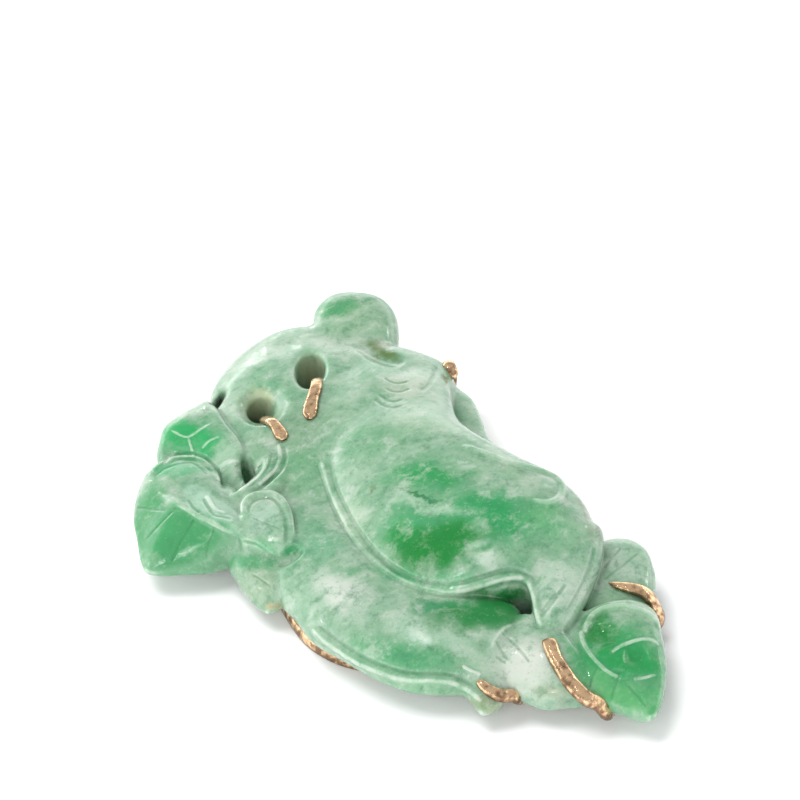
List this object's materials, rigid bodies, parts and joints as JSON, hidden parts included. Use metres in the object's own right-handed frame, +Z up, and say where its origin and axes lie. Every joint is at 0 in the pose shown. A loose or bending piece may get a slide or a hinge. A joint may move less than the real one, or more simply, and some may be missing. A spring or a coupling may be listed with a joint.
{
  "type": "jade bean pod pendant",
  "caption": "Pierced jade pendant carved as two bean pods with leaves and a stem, held in a gold wire mount with curled prongs.",
  "frame": {"origin": "on the surface that the pendant lies on, under the middle of its outline", "axes": "+Z up, out of the carved face; +Y from the pointed leaf to the stem end; +X to the right seen from above"},
  "size_m": [0.0366, 0.0534, 0.0096],
  "materials": {
    "jade": "polished",
    "gold": "polished"
  },
  "bodies": {
    "root": {"jade_carving": "jade", "gold_mount": "gold"}
  },
  "joints": []
}
